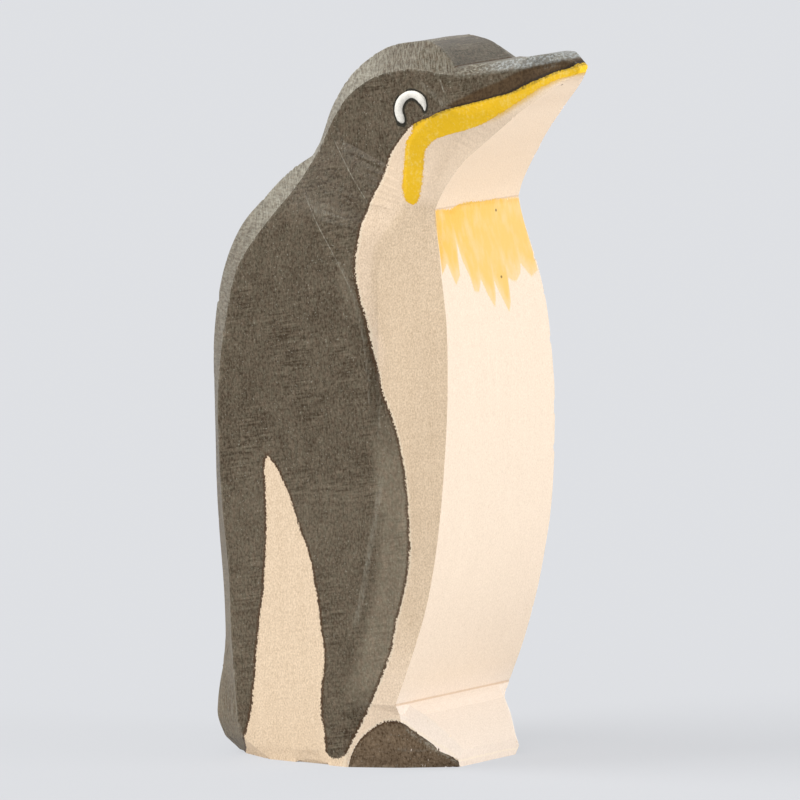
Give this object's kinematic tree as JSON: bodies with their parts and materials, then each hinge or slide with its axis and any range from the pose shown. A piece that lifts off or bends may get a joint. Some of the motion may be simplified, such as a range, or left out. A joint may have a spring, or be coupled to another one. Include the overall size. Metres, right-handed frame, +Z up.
{
  "type": "wooden penguin figure",
  "caption": "Standing penguin figure whittled from one block of pale hardwood, stained dark, yellow and bare, with a thick stroke of white paint for each eye.",
  "frame": {"origin": "on the ground, under the middle of the figure's depth and thickness", "axes": "+Z up, -Y the way the penguin looks, -X its right side"},
  "size_m": [0.034, 0.0694, 0.1187],
  "materials": {
    "stained_wood": "pale hardwood, sanded by hand, with thin dark grey and yellow stains that let the grain show",
    "eye_paint": "thick opaque white paint, satin, standing up from the wood"
  },
  "bodies": {
    "root": {"wooden_figure": "stained_wood", "right_eye_paint": "eye_paint", "left_eye_paint": "eye_paint"}
  },
  "joints": []
}
